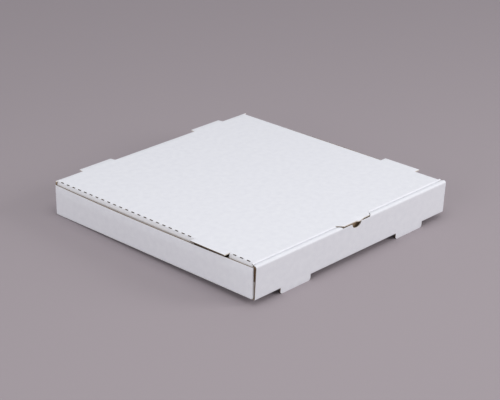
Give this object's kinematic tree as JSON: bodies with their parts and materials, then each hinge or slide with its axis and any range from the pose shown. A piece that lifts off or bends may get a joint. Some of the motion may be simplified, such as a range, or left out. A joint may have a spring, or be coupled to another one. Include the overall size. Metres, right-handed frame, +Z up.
{
  "type": "pizza box",
  "caption": "Square flat corrugated pizza box with a hinged lid, rolled front wall, tuck flaps, thumb tab and front feet, for carrying a pizza.",
  "frame": {"origin": "centre of the box's footprint, tabs included, at the level of the feet", "axes": "+X to the right along the front wall, +Y from the front wall to the hinged back wall, +Z up"},
  "size_m": [0.4144, 0.4172, 0.0604],
  "materials": {
    "tray_board": "uncoated white paper outside, brown kraft paper inside",
    "lid_board": "uncoated white paper outside, brown kraft paper inside"
  },
  "bodies": {
    "tray": {"tray": "tray_board"},
    "lid": {"lid": "lid_board"}
  },
  "joints": [
    {"name": "lid_hinge", "type": "hinge", "parent": "tray", "child": "lid", "pos_m": [0, 0.19984, 0.0596], "axis": [-1, 0, 0], "range_deg": [0, 180]}
  ]
}
